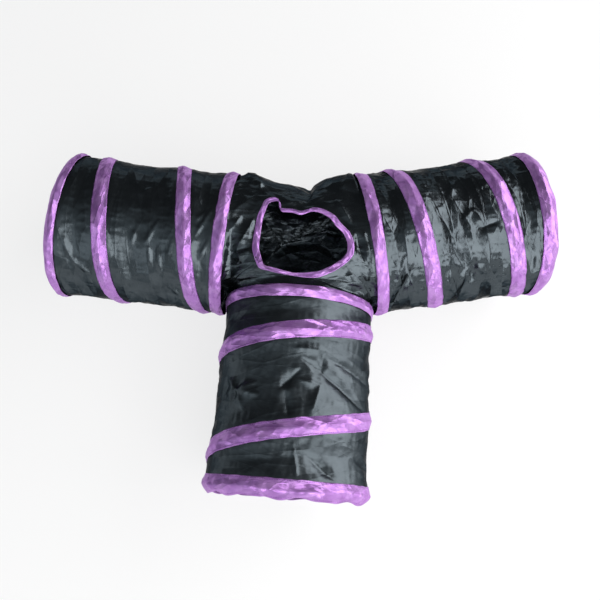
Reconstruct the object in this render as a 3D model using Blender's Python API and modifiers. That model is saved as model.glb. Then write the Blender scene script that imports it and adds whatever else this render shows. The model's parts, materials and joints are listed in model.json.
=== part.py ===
"""A three-way collapsible cat tunnel, modelled in Blender.

Three tubes of thin cloth meet in a soft hub with a peephole on top. Each tube is held open by a
spring-steel coil of two turns between two wire hoops. Satin tape is sewn over hoops and coil, and
rises like a tent over the wire. Each mouth and the peephole are bound with tape folded over the edge.

Metres, +Z up. The origin lies on the floor under the middle of the hub, the front tube points to -Y,
and the left and right tubes point to -X and +X. An arm's angles count from its underside, right-handed
about its outward axis, and its distances count outward from its inner hoop.
"""

import math
from itertools import accumulate

import bmesh
import bpy
from mathutils import Matrix, Vector

# Sizes that can be set by themselves, in metres
HOOP_DIAMETER = 0.250
TAPE_WIDTH = 0.028
TAPE_THICKNESS = 0.0008
CLOTH_THICKNESS = 0.0010
WIRE_DIAMETER = 0.0020
WIRE_SPACING = 0.0026
SLEEVE_BORE = 0.0025
SLEEVE_WALL = 0.0003
SLEEVE_LENGTH = 0.012
WIRE_STUB = 0.0015
SLEEVE_GAP = 0.0002
GAP = 0.0003
CLOTH_SAG = 0.005
MOUTH_HEM = 0.014
MOUTH_INNER_LEG = 0.014
SEAM_NOTCH = 0.034
FOLD_CLEARANCE = 0.005
SEAM_GAP = 0.0012
PEEPHOLE_TAPE = 0.010
PEEPHOLE_DROP = 0.012
PEEPHOLE_SETBACK = 0.022
FLOOR_PATCH = 0.070
FOLD_DEPTH = 0.0035
FOLD_RISE = 0.0030

# Where each arm points (degrees from +X), how much further than a hoop's radius its inner hoop stands
# from the hub's middle, the distance between its hoops, and how the slack coil leans: sideways, front to
# back, and towards the hub
ARMS = {
    "right": {"azimuth": 9.5, "standoff": -0.007, "length": 0.271, "lean": (0.0019, 0.0013, 0.0029)},
    "left": {"azimuth": 174.3, "standoff": 0.010, "length": 0.271, "lean": (0.0022, 0.0043, 0.0026)},
    "front": {"azimuth": 267.3, "standoff": -0.025, "length": 0.295, "lean": (0.0017, 0.0008, 0.0024)},
}
COIL_TURNS = 2

# How far above half height the hub's edge turns towards its seam, in degrees round a hoop, and the share
# of its length that a hub panel's curve takes to leave each end
TUCK_HEIGHT = 45.0
CURVE_LEAD = 0.4

# The slack outline of the peephole's tape: radii at equal steps round its middle, from +X
PEEPHOLE_RADII = (
    0.078, 0.0685, 0.0635, 0.0605, 0.053, 0.060, 0.088, 0.083,
    0.0805, 0.082, 0.074, 0.063, 0.060, 0.0635, 0.068, 0.0765,
)

# Flats round a hoop, rings along a tube's cloth, and rows across a hub panel
FLATS = 24
CLOTH_RINGS = 12
PANEL_ROWS = (0.0, 0.2, 0.4, 0.6, 0.8, 1.0)
FLOOR_ROWS = (0.0, 0.3, 0.65, 1.0)
EASING_ROUNDS = 4
WIRE_BEVEL_RESOLUTION = 1
SLEEVE_BORE_SIDES = 8
SLEEVE_END_STEPS = 5

# Sizes worked out from those above
STEP = 360.0 / FLATS
TURN = 360.0
SLEEVE_DIAMETER = SLEEVE_BORE + 2 * SLEEVE_WALL
CHANNEL_HEIGHT = SLEEVE_DIAMETER + 2 * SLEEVE_GAP
WIRE_HEIGHT = CHANNEL_HEIGHT / 2
AXIS_HEIGHT = HOOP_DIAMETER / 2
PEEPHOLE_HEIGHT = HOOP_DIAMETER - PEEPHOLE_DROP
CLOTH_RADIUS = HOOP_DIAMETER / 2 - CHANNEL_HEIGHT - TAPE_THICKNESS
WIRE_RADIUS = CLOTH_RADIUS + WIRE_HEIGHT
HALF_TAPE = TAPE_WIDTH / 2
TAPE_RUN = HALF_TAPE + FOLD_CLEARANCE / 2
HALF_RIDGE = SLEEVE_DIAMETER / 2 + SLEEVE_GAP
TWIN_RIDGE = WIRE_SPACING + HALF_RIDGE
SHOULDER = (TWIN_RIDGE + HALF_TAPE) / 2
UP = Vector((0.0, 0.0, 1.0))


class Arm:
    """One tube's own frame: its inner hoop's middle, its outward axis and the side its angles turn to."""

    def __init__(self, name, azimuth, standoff, length, lean):
        turned = math.radians(azimuth)
        reach = HOOP_DIAMETER / 2 + standoff
        self.name = name
        self.length = length
        self.lean = lean
        self.axis = Vector((math.cos(turned), math.sin(turned), 0.0))
        self.side = self.axis.cross(-UP)
        self.middle = self.axis * reach + UP * AXIS_HEIGHT

    def at(self, along, radius, angle):
        """The point at a distance outward, a true radius on the flats and an angle from the underside."""
        turned = math.radians(angle)
        spoke = self.side * math.sin(turned) - UP * math.cos(turned)
        return self.middle + self.axis * along + spoke * on_flats(radius, angle)

    def read(self, point):
        """(along, radius, angle) of a point: the reverse of at, with the plain radius."""
        offset = point - self.middle
        across = offset.dot(self.side)
        rise = offset.dot(UP)
        return offset.dot(self.axis), math.hypot(across, rise), math.degrees(math.atan2(across, -rise))

    def coil_along(self, angle):
        """How far out the coil is after turning by an angle. At either end it lies beside the hoop."""
        lead_in = STEP / 2
        share = (angle - lead_in) / (COIL_TURNS * TURN - 2 * lead_in)
        share = min(max(share, 0.0), 1.0)
        turned = share * COIL_TURNS * 2 * math.pi
        sideways, endways, hubward = self.lean
        slack = sideways * math.sin(turned) - endways * (1 - math.cos(turned))
        slack -= hubward * (1 - math.cos(turned / COIL_TURNS))
        return WIRE_SPACING + (self.length - 2 * WIRE_SPACING) * share + slack


def on_flats(radius, angle):
    """The distance to a flat-sided circle whose flats touch the round one of this radius."""
    from_flat = angle - STEP * round(angle / STEP)
    return radius / math.cos(math.radians(from_flat))


def stations(first, last):
    """The angles of the corners between flats, from the first to the last that is asked for."""
    count = round((last - first) / STEP)
    return [first + STEP * step for step in range(count + 1)]


def tent(distance):
    """The height of the tape's underside over the cloth, at a distance from the wire beneath it."""
    share = (HALF_TAPE - abs(distance)) / (HALF_TAPE - HALF_RIDGE)
    return GAP + (CHANNEL_HEIGHT - GAP) * min(max(share, 0.0), 1.0)


def material(name, colour, roughness, metallic=0.0):
    made = bpy.data.materials.new(name)
    made.use_nodes = True
    shader = made.node_tree.nodes["Principled BSDF"]
    shader.inputs["Base Color"].default_value = (*colour, 1.0)
    shader.inputs["Roughness"].default_value = roughness
    shader.inputs["Metallic"].default_value = metallic
    return made


def sheet(name, rows, thickness, offset, finish, closed=False, capped=False, even=True):
    """A cloth or tape: an open surface through rows of points, given its thickness by Solidify."""
    mesh = bmesh.new()
    grid = [[mesh.verts.new(point) for point in row] for row in rows]
    for row, following in zip(grid, grid[1:] + (grid[:1] if closed == "rows" else [])):
        count = len(row) if closed == "columns" else len(row) - 1
        for column in range(count):
            beside = (column + 1) % len(row)
            mesh.faces.new((row[column], row[beside], following[beside], following[column]))
    if capped:
        mesh.faces.new(grid[-1])
    data = bpy.data.meshes.new(name)
    mesh.to_mesh(data)
    mesh.free()
    made = bpy.data.objects.new(name, data)
    solid = made.modifiers.new("thickness", "SOLIDIFY")
    solid.thickness = thickness
    solid.offset = offset
    solid.use_even_offset = even
    data.materials.append(finish)
    data.shade_smooth()
    data.set_sharp_from_angle(angle=math.radians(40))
    PARTS.objects.link(made)
    return made


def wire(name, points, finish):
    """A round wire through points, with closed ends."""
    curve = bpy.data.curves.new(name, "CURVE")
    curve.dimensions = "3D"
    curve.bevel_depth = WIRE_DIAMETER / 2
    curve.bevel_resolution = WIRE_BEVEL_RESOLUTION
    curve.use_fill_caps = True
    spline = curve.splines.new("POLY")
    spline.points.add(len(points) - 1)
    for target, point in zip(spline.points, points):
        target.co = (*point, 1.0)
    curve.materials.append(finish)
    made = bpy.data.objects.new(name, curve)
    PARTS.objects.link(made)
    return made


def hoop_wire(arm, name, along):
    """A ring whose two ends meet in its sleeve on the underside."""
    half_joint = math.degrees(GAP / 2 / WIRE_RADIUS)
    angles = [half_joint, *stations(STEP / 2, TURN - STEP / 2), TURN - half_joint]
    wire(f"{arm.name}_{name}", [arm.at(along, WIRE_RADIUS, angle) for angle in angles], STEEL)


def coil_wire(arm):
    """The spring: its two turns leave and reach the hoops on the underside, where the sleeves hold it."""
    past_sleeve = math.degrees((SLEEVE_LENGTH / 2 + WIRE_STUB) / WIRE_RADIUS)
    last = COIL_TURNS * TURN
    angles = [-past_sleeve, *stations(STEP / 2, last - STEP / 2), last + past_sleeve]
    points = [arm.at(arm.coil_along(angle), WIRE_RADIUS, angle) for angle in angles]
    wire(f"{arm.name}_coil_wire", points, STEEL)
    return angles, points


def oval(half_length, radius):
    """The outline of a sleeve that is squeezed round two wires side by side."""
    points = []
    for end in (1, -1):
        for step in range(SLEEVE_END_STEPS):
            turned = math.pi * (step / (SLEEVE_END_STEPS - 1) - 0.5)
            outward = half_length + radius * math.cos(turned)
            points.append((end * outward, end * radius * math.sin(turned)))
    return points


def bore(centre, radius):
    corner = radius / math.cos(math.pi / SLEEVE_BORE_SIDES)
    turns = [2 * math.pi * (side + 0.5) / SLEEVE_BORE_SIDES for side in range(SLEEVE_BORE_SIDES)]
    return [(centre + corner * math.cos(turn), corner * math.sin(turn)) for turn in turns]


def sleeve(arm, name, along, towards_coil):
    """The crimped sleeve that joins a hoop's ends and holds the coil's end beside them."""
    curve = bpy.data.curves.new(f"{arm.name}_{name}", "CURVE")
    curve.dimensions = "2D"
    curve.fill_mode = "BOTH"
    curve.extrude = SLEEVE_LENGTH / 2
    outlines = [oval(WIRE_SPACING / 2, SLEEVE_DIAMETER / 2)]
    outlines += [bore(place, SLEEVE_BORE / 2) for place in (-WIRE_SPACING / 2, WIRE_SPACING / 2)]
    for outline in outlines:
        spline = curve.splines.new("POLY")
        spline.points.add(len(outline) - 1)
        spline.use_cyclic_u = True
        for target, (x, y) in zip(spline.points, outline):
            target.co = (x, y, 0.0, 1.0)
    curve.materials.append(SLEEVE_METAL)
    made = bpy.data.objects.new(curve.name, curve)
    turned = Matrix((arm.axis, UP, arm.axis.cross(UP))).transposed().to_4x4()
    middle = arm.at(along + towards_coil * WIRE_SPACING / 2, WIRE_RADIUS, 0.0)
    made.matrix_world = Matrix.Translation(middle) @ turned
    PARTS.objects.link(made)


def inner_band(arm):
    """The tape over the inner hoop. Past the sleeve it also rises over the coil that comes out of it."""
    columns = (-HALF_TAPE, -HALF_RIDGE, HALF_RIDGE, TWIN_RIDGE, SHOULDER, HALF_TAPE)
    rows = []
    for angle in stations(STEP / 2, TURN - STEP / 2):
        coil_angle = STEP / 2 if angle > TURN - STEP else angle
        coil = arm.coil_along(coil_angle)
        heights = [max(tent(along), tent(along - coil)) for along in columns]
        rows.append([arm.at(a, CLOTH_RADIUS + h, angle) for a, h in zip(columns, heights)])
    sheet(f"{arm.name}_inner_band", rows, TAPE_THICKNESS, SHEET_OUTWARD, SATIN, closed="rows")


def mouth_binding(arm):
    """The tape over the mouth's hoop, folded over the cloth's edge to the inside."""
    columns = (HALF_TAPE, SHOULDER, TWIN_RIDGE, HALF_RIDGE, -HALF_RIDGE)
    folded = -(MOUTH_HEM + GAP)
    inside = -(CLOTH_THICKNESS + GAP)
    rows = []
    for angle in stations(STEP / 2, TURN - STEP / 2):
        coil_angle = (COIL_TURNS - 1) * TURN + angle
        if angle < STEP:
            coil_angle = COIL_TURNS * TURN - STEP / 2
        coil = arm.length - arm.coil_along(coil_angle)
        profile = [(inward, max(tent(inward), tent(inward - coil))) for inward in columns]
        profile += [(folded, GAP), (folded, inside), (MOUTH_INNER_LEG - MOUTH_HEM, inside)]
        rows.append([arm.at(arm.length - inward, CLOTH_RADIUS + h, angle) for inward, h in profile])
    sheet(f"{arm.name}_mouth_binding", rows, TAPE_THICKNESS, SHEET_OUTWARD, SATIN, closed="rows")


def coil_band(arm):
    """The tape over the coil. Its ends narrow to nothing against the tapes of the two hoops."""
    near = HALF_TAPE + 2 * GAP
    far = arm.length - near
    least = HALF_TAPE / 100
    rows = []
    for angle in stations(STEP / 2, COIL_TURNS * TURN - STEP / 2):
        coil = arm.coil_along(angle)
        columns = [coil - HALF_TAPE, coil - HALF_RIDGE, coil + HALF_RIDGE, coil + HALF_TAPE]
        for place in range(len(columns)):
            before = len(columns) - 1 - place
            columns[place] = max(columns[place], near + place * least)
            columns[place] = min(columns[place], far - before * least)
        rows.append([arm.at(a, CLOTH_RADIUS + tent(a - coil), angle) for a in columns])
    sheet(f"{arm.name}_coil_band", rows, TAPE_THICKNESS, SHEET_OUTWARD, SATIN)


def cloth_sag(arm, along, angle):
    """How far the cloth hangs in between the tapes on either side of it."""
    wires = [0.0, arm.length]
    wires += [arm.coil_along(angle + TURN * turn) for turn in range(COIL_TURNS)]
    below = max((w for w in wires if w <= along), default=0.0) + HALF_TAPE
    above = min((w for w in wires if w > along), default=arm.length) - HALF_TAPE
    if not below < along < above:
        return 0.0
    share = (along - below) / (above - below)
    widest = arm.length / COIL_TURNS - TAPE_WIDTH
    return CLOTH_SAG * 4 * share * (1 - share) * min((above - below) / widest, 1.0)


def tube_cloth(arm):
    rows = []
    last = arm.length + MOUTH_HEM
    for ring in range(CLOTH_RINGS + 1):
        along = GAP / 2 + (last - GAP / 2) * ring / CLOTH_RINGS
        row = []
        for angle in stations(STEP / 2, TURN - STEP / 2):
            row.append(arm.at(along, CLOTH_RADIUS - cloth_sag(arm, along, angle), angle))
        rows.append(row)
    sheet(f"{arm.name}_tube_cloth", rows, CLOTH_THICKNESS, SHEET_OUTWARD, CLOTH, closed="columns")


def seam_points(first, second):
    """The seam at half height between two arms' hoops, after the first and before the second."""
    start = first.at(0.0, CLOTH_RADIUS, TURN / 4)
    end = second.at(0.0, CLOTH_RADIUS, TURN * 3 / 4)
    if "front" not in (first.name, second.name):
        inward = -((start + end) / 2 - UP * AXIS_HEIGHT).normalized()
        shares = (0.14, 0.28, 0.4, 0.5, 0.6, 0.72, 0.86)
        dips = [SEAM_NOTCH * (1 - abs(2 * share - 1)) ** 1.5 for share in shares]
        return [start.lerp(end, share) + inward * dip for share, dip in zip(shares, dips)]
    # The front hoop's tape reaches into the hub, and the cloth folds in round that tape's edge
    front, angle = (first, TURN / 4) if first.name == "front" else (second, TURN * 3 / 4)
    tucked = front.at(-HALF_TAPE - FOLD_DEPTH, CLOTH_RADIUS, angle)
    folded = front.at(-HALF_TAPE - FOLD_CLEARANCE, CLOTH_RADIUS + FOLD_RISE, angle)
    return [tucked, folded] if first is front else [folded, tucked]


def hub_edge(arms):
    """The hub's edge round its upper half, anticlockwise from above: (point, way in, lead, arm or None)."""
    edge = []
    order = [arms["right"], arms["left"], arms["front"]]
    for place, arm in enumerate(order):
        following = order[(place + 1) % len(order)]
        before = seam_points(order[place - 1], arm)[-1]
        after = seam_points(arm, following)[0]
        angles = [TURN * 3 / 4, *reversed(stations(TURN / 4 + STEP / 2, TURN * 3 / 4 - STEP / 2)), TURN / 4]
        for angle in angles:
            point = arm.at(-(CLOTH_THICKNESS + GAP), CLOTH_RADIUS, angle)
            beside = after if angle < TURN / 2 else before
            height = TURN / 4 - abs(angle - TURN / 2)
            nearness = max(0.0, 1 - height / TUCK_HEIGHT) ** 2
            way = (-arm.axis).lerp((beside - point).normalized(), nearness).normalized()
            steepness = math.cos(math.radians(height)) ** 2
            turned = math.radians(angle)
            rise = (arm.side * math.cos(turned) + UP * math.sin(turned)) * (1 if angle < TURN / 2 else -1)
            edge.append((point, way, way.lerp(rise, steepness).normalized(), arm))
        for point in seam_points(arm, following):
            edge.append((point, UP, UP, None))
    return edge


def bezier(first, lead, second, arrival, share):
    left = 1 - share
    return left**3 * first + 3 * left**2 * share * lead + 3 * left * share**2 * arrival + share**3 * second


def clear_of_tapes(point, arms):
    """A hub point moved off the hoops' tapes: under the tape where it is close, or else back from it."""
    for arm in arms.values():
        along, radius, angle = arm.read(point)
        limit = on_flats(CLOTH_RADIUS, angle)
        edge = -(HALF_TAPE + FOLD_CLEARANCE)
        if along <= edge or along >= HALF_TAPE or radius <= limit:
            continue
        if radius < limit + FOLD_CLEARANCE / 2:
            spoke = (point - arm.middle - arm.axis * along) / radius
            point = point - spoke * (radius - limit)
        else:
            point = point - arm.axis * (along - edge)
    return point


def hub_columns(edge, ends, rows, arms):
    """Columns of points from the edge inwards: straight under the tape, then a curve, then eased."""
    columns = []
    for (start, way, lead, _), (end, outward) in zip(edge, ends):
        free = start + way * TAPE_RUN
        reach = (end - free).length * CURVE_LEAD
        curve = [bezier(free, free + lead * reach, end, end + outward * reach, share) for share in rows]
        columns.append([start, *(clear_of_tapes(point, arms) for point in curve[:-1]), curve[-1]])
    for _ in range(EASING_ROUNDS):
        eased = [list(column) for column in columns]
        for place, column in enumerate(columns):
            beside = columns[place - 1], columns[(place + 1) % len(columns)]
            for row in range(1, len(column) - 1):
                around = column[row - 1] + column[row + 1] + beside[0][row] + beside[1][row]
                eased[place][row] = clear_of_tapes(column[row].lerp(around / 4, 0.5), arms)
        columns = eased
    return columns


def bearings(edge, centre):
    """The direction of each edge point from a middle, made to turn one way only where the edge folds."""
    seen = []
    for point, *_ in edge:
        bearing = math.atan2(point.y - centre.y, point.x - centre.x)
        while seen and bearing < seen[-1] - math.pi:
            bearing += 2 * math.pi
        seen.append(bearing)
    level = [bearing + turn * 2 * math.pi for turn in (-1, 0, 1) for bearing in seen]
    highest = accumulate(level, max)
    lowest = reversed(list(accumulate(reversed(level), min)))
    level = [(high + low) / 2 for high, low in zip(highest, lowest)]
    for _ in range(EASING_ROUNDS):
        eased = [(a + 2 * b + c) / 4 for a, b, c in zip(level, level[1:], level[2:])]
        level = [level[0], *eased, level[-1]]
    return level[len(seen) : 2 * len(seen)]


def peephole_radius(bearing):
    """The radius of the slack outline at a bearing, on a smooth closed curve through its radii."""
    count = len(PEEPHOLE_RADII)
    place = (bearing / (2 * math.pi)) % 1.0 * count
    index = int(place)
    share = place - index
    a, b, c, d = (PEEPHOLE_RADII[(index + step) % count] for step in (-1, 0, 1, 2))
    slope_in = (c - a) / 2
    slope_out = (d - b) / 2
    bend = 3 * (c - b) - 2 * slope_in - slope_out
    twist = 2 * (b - c) + slope_in + slope_out
    return b + share * (slope_in + share * (bend + share * twist))


def hub_top(arms):
    """The hub's upper panel, from hoops and seams up to the peephole, and the tape on its edge."""
    centre = Vector((0.0, -PEEPHOLE_SETBACK, PEEPHOLE_HEIGHT))
    edge = []
    for point, way, lead, own in hub_edge(arms):
        edge.append((point if own else point + UP * SEAM_GAP / 2, way, lead, own))
    ends = []
    for bearing in bearings(edge, centre):
        outward = Vector((math.cos(bearing), math.sin(bearing), 0.0))
        ends.append((centre + outward * peephole_radius(bearing), outward))
    columns = hub_columns(edge, ends, PANEL_ROWS, arms)
    for column, (outline, outward) in zip(columns, ends):
        column.append(outline - outward * PEEPHOLE_TAPE)
    rows = [list(row) for row in zip(*columns)]
    sheet("hub_top_panel", rows, CLOTH_THICKNESS, SHEET_OUTWARD, CLOTH, closed="columns", even=False)
    over = UP * GAP
    under = -UP * (CLOTH_THICKNESS + GAP)
    profiles = []
    for outline, hole in zip(rows[-2], rows[-1]):
        inward = (hole - outline).normalized()
        lip = hole + inward * GAP
        rim = outline + inward * 2 * GAP
        profiles.append([rim + over, lip + over, lip + under, rim + under])
    binding = [list(row) for row in zip(*profiles)]
    sheet("peephole_binding", binding, TAPE_THICKNESS, SHEET_INWARD, SATIN, closed="columns")


def upside_down(way):
    return Vector((way.x, way.y, -way.z))


def hub_bottom(arms):
    """The hub's lower panel, from hoops and seams down to the patch that lies flat on the floor."""
    edge = []
    for point, way, lead, own in hub_edge(arms):
        low = Vector((point.x, point.y, 2 * AXIS_HEIGHT - point.z))
        if own is None:
            low = low - UP * SEAM_GAP / 2
        elif math.isclose(low.z, AXIS_HEIGHT):
            low = low - UP * GAP
        edge.append((low, upside_down(way), upside_down(lead), own))
    ends = []
    for bearing in bearings(edge, Vector((0.0, 0.0, 0.0))):
        outward = Vector((math.cos(bearing), math.sin(bearing), 0.0))
        ends.append((outward * FLOOR_PATCH, outward))
    rows = [list(row) for row in zip(*hub_columns(edge, ends, FLOOR_ROWS, arms))]
    finish = {"closed": "columns", "capped": True, "even": False}
    sheet("hub_bottom_panel", rows, CLOTH_THICKNESS, SHEET_INWARD, CLOTH, **finish)


def least_gap(angles, points):
    """The least distance of a coil to itself, over points that are more than a third of a turn apart."""
    return min(
        (first - second).length
        for place, first in enumerate(points)
        for other, second in enumerate(points[:place])
        if angles[place] - angles[other] > TURN / 3
    )


for old in list(bpy.data.objects):
    bpy.data.objects.remove(old, do_unlink=True)
PARTS = bpy.data.collections.new("cat_tunnel")
bpy.context.scene.collection.children.link(PARTS)

SHEET_OUTWARD = -1.0
SHEET_INWARD = 1.0
CLOTH = material("crinkled_cloth", (0.012, 0.013, 0.015), 0.42)
SATIN = material("satin_tape", (0.36, 0.13, 0.50), 0.38)
STEEL = material("spring_steel", (0.42, 0.42, 0.43), 0.35, 1.0)
SLEEVE_METAL = material("plated_sleeve", (0.60, 0.58, 0.54), 0.3, 1.0)

ALL_ARMS = {name: Arm(name, **sizes) for name, sizes in ARMS.items()}
for each in ALL_ARMS.values():
    tube_cloth(each)
    inner_band(each)
    coil_band(each)
    mouth_binding(each)
    hoop_wire(each, "inner_hoop", 0.0)
    hoop_wire(each, "mouth_hoop", each.length)
    coil_angles, coil_points = coil_wire(each)
    sleeve(each, "inner_sleeve", 0.0, 1)
    sleeve(each, "mouth_sleeve", each.length, -1)
    clear = least_gap(coil_angles, coil_points) - WIRE_DIAMETER
    print(f"{each.name} coil: least gap to itself {clear * 1000:.1f} mm")
hub_top(ALL_ARMS)
hub_bottom(ALL_ARMS)
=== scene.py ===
"""The looks of a three-way collapsible cat tunnel: crumpled black taffeta, violet satin tape over coiled
spring wire, a pale floor and soft studio light. Metres, +Z up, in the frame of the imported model.

An arm's angles count in degrees from its underside, right-handed about its outward axis, and its
distances count outward from its inner hoop.
"""

import json
import math

import bpy
import numpy as np
from mathutils import Matrix, Vector
from mathutils.bvhtree import BVHTree
from mathutils.geometry import delaunay_2d_cdt


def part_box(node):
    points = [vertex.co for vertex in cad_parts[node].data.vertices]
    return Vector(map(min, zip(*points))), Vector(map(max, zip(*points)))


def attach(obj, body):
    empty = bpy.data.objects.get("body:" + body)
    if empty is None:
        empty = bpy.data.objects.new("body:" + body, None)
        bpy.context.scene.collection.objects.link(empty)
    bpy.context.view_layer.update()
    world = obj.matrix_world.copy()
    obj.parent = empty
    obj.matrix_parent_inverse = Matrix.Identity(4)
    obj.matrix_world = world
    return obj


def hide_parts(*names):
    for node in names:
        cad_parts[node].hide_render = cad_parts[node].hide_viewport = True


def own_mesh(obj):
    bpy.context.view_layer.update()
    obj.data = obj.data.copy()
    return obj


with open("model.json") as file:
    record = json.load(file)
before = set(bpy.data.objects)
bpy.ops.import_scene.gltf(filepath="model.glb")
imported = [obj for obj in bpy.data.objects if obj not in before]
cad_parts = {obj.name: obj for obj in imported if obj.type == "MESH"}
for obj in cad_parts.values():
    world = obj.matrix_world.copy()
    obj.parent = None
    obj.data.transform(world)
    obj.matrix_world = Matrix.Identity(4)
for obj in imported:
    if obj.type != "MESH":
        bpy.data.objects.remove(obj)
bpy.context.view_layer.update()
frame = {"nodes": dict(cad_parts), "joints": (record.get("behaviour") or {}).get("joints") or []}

# Sizes of the tunnel's pieces, mostly as its solids have them
HOOP_DIAMETER = 0.250
TAPE_WIDTH = 0.028
TAPE_THICKNESS = 0.0004
CLOTH_THICKNESS = 0.0002
WIRE_DIAMETER = 0.0020
WIRE_SPACING = 0.0026
CLOTH_RADIUS = 0.1207
WIRE_RADIUS = 0.12245
TENT_HEIGHT = 0.0041
TENT_RIDGE = 0.0011
TENT_CURVE = 1.25
GAP = 0.0003
MOUTH_HEM = 0.014
SEAM_NOTCH = 0.034
SEAM_TURN = 45.0
PEEPHOLE_TAPE = 0.010
PEEPHOLE_LENGTH = 0.46
PEEPHOLE_HEIGHT = 0.238
PEEPHOLE_SETBACK = 0.022
FLOOR_PATCH = 0.070
FOLD_CLEARANCE = 0.005
FOLD_DEPTH = 0.0035
FOLD_RISE = 0.0030
COIL_TURNS = 2
COIL_LEAD_IN = 7.5
COIL_OVERRUN = 3

# How far a folded tape reaches past its cloth's edge and lies under the cloth
MOUTH_LIP, MOUTH_UNDER = 0.0006, 0.0008
PEEPHOLE_LIP, PEEPHOLE_UNDER = 0.0008, 0.0006

# How near a coil's tape comes to the hoops' tapes, and the least width that it is squeezed to there
COIL_CLEARANCE = 0.0002
COIL_SQUEEZED = 0.0006

# How each coil strays from an even pitch: to the side, back at the top, and back all round
LEAN = {
    "right": (0.0060, -0.0022, 0.0028),
    "left": (0.0023, 0.0035, -0.0032),
    "front": (0.0034, 0.0034, 0.0048),
}

# How far each tube's slack hoops tilt outward at one side and at the top: inner hoop, then mouth hoop
TILT = {
    "right": ((-0.0013, -0.0091), (0.0019, -0.0006)),
    "left": ((-0.0007, -0.0053), (0.0034, -0.0098)),
    "front": ((0.0005, 0.0038), (0.0011, 0.0009)),
}
FLARE = {"right": 0.0, "left": 0.0, "front": 0.055}

# How much a mouth's hem curls in over its hoop, in degrees, and how far its edge waves
HEM_CURL = {"right": 45.0, "left": 72.0, "front": 50.0}
HEM_WAVE = {"right": 0.0008, "left": 0.0006, "front": 0.0017}

# How far each tube's tapes are drawn in from their full width: inner, coil and mouth
TAPE_DRAWN = {"right": (0.84, 0.91, 0.95), "left": (0.86, 0.87, 0.58), "front": (0.78, 1.0, 1.0)}

# How much the cloth of each tube and of the hub is crumpled, in its shape and in its finest creases
CRUMPLED = {"right": 0.85, "left": 0.45, "front": 0.45, "hub": 0.6}
CREASED = {"right": 1.2, "left": 0.65, "front": 0.5, "hub": 0.55}

# How rough each cloth's shine and each other material is, from its glossiest places to its dullest
DULLNESS = {
    "right": (0.17, 0.31), "left": (0.24, 0.36), "front": (0.30, 0.42), "hub": (0.20, 0.33),
    "satin": (0.26, 0.44), "steel": (0.24, 0.44), "zinc": (0.22, 0.46), "floor": (0.66, 0.74),
}

# How much calmer the cloth is at a tube's top, where its weight draws it smooth
SLACK_TOP = 0.6

# The peephole's outline in plan, anticlockwise in millimetres: slack at the back, with one kinked corner.
# Points are spread along it by their bearing, and by its length at this many radians to the metre.
PEEPHOLE_OUTLINE = (
    (-69, 35), (-75, 18), (-79, -9), (-81, -35), (-77, -51), (-69, -68), (-53, -73), (-29, -78),
    (1, -82), (24, -81), (48, -70), (67, -56), (77, -42), (78, -23), (71, -5), (58, 9), (47, 23),
    (29, 33), (14, 35), (-6, 29), (-20, 32), (-33, 32.5), (-40.5, 33.5), (-41.5, 40), (-43, 48),
    (-50, 51.5), (-63, 47),
)
PEEPHOLE_FOLLOW = 8

# How much of the peephole's tape shows at each bearing: it is rolled under at the back and one corner
PEEPHOLE_BEARINGS = (0, 40, 70, 115, 150, 200, 225, 255, 285, 360)
PEEPHOLE_SHOWN = (1, 0.8, 0.6, 0.6, 0.9, 1, 0.75, 0.45, 0.9, 1)

# The plainest folds of each tube's cloth: angle and distance at either end, width and height, in degrees
# and millimetres
TUBE_FOLDS = {
    "right": (
        (150, 150, 176, 112, 10, 1.9), (173, 118, 176, 147, 8, 1.6), (176, 112, 182, 96, 8, 1.4),
        (190, 138, 183, 157, 8, 3.9), (183, 157, 197, 167, 8, 3.9), (200, 149, 195, 190, 9, -3.9),
        (231, 99, 253, 120, 8, 4.6), (253, 120, 230, 137, 8, 4.6), (210, 115, 227, 130, 7, -3.4),
        (259, 16, 219, 55, 8, -4.2), (211, 16, 227, 18, 6, 3.1), (243, 17, 213, 40, 7, 3.4),
        (228, 153, 237, 169, 7, 3.9), (205, 85, 235, 92, 7, 3.1), (222, 150, 245, 145, 7, -3.4),
        (215, 225, 240, 232, 7, 3.4),
    ),
    "left": (
        (152, 250, 133, 236, 6.3, 3.2), (133, 236, 122, 206, 6.3, 3.8), (163, 39, 187, 16, 5.4, 3.2),
        (174, 41, 183, 27, 5.4, 2.6), (145, 30, 160, 16, 5.4, 3.2), (152, 118, 172, 100, 5.4, 2.6),
        (194, 136, 200, 125, 4.5, 2.3), (151, 97, 130, 90, 5.4, 2.9), (150, 140, 165, 134, 5.4, 2.6),
        (140, 80, 160, 72, 5.4, 2.6), (133, 105, 150, 112, 5.4, 2.6), (120, 80, 108, 50, 6.3, 3.2),
    ),
    "front": (
        (174, 106, 116, 173, 9, -5.5), (156, 101, 106, 127, 8, -4.2), (189, 151, 176, 124, 10, -5.5),
        (175, 138, 160, 143, 8, 4.4), (160, 143, 167, 194, 11, 5.2), (179, 91, 157, 90, 7, 3.4),
        (224, 156, 208, 145, 9, 3.9), (224, 156, 235, 137, 9, 3.9), (224, 156, 237, 160, 9, 3.4),
        (224, 156, 216, 185, 9, 3.9), (224, 156, 205, 163, 9, 3.6), (168, 244, 144, 281, 10, -5.5),
        (177, 230, 173, 281, 4, 2.9), (125, 244, 100, 257, 7, -3.1), (185, 157, 181, 197, 10, -4.7),
        (159, 97, 159, 123, 8, -3.9),
    ),
}

# A fold's share of its size at its ends, how many widths it fades over, and how sharp it is
FOLD_ENDS = 0.3
FOLD_FADE = 1.6
FOLD_SHARPNESS = 1.7

# Where in plan the hub's cloth is drawn smooth and by how much, and how slack it is underneath
SMOOTH_PLACE = (0.088, 0.030)
SMOOTH_SIZE = 0.045
SMOOTHING = 0.8
SLACK_BELOW = 1.4

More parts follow.
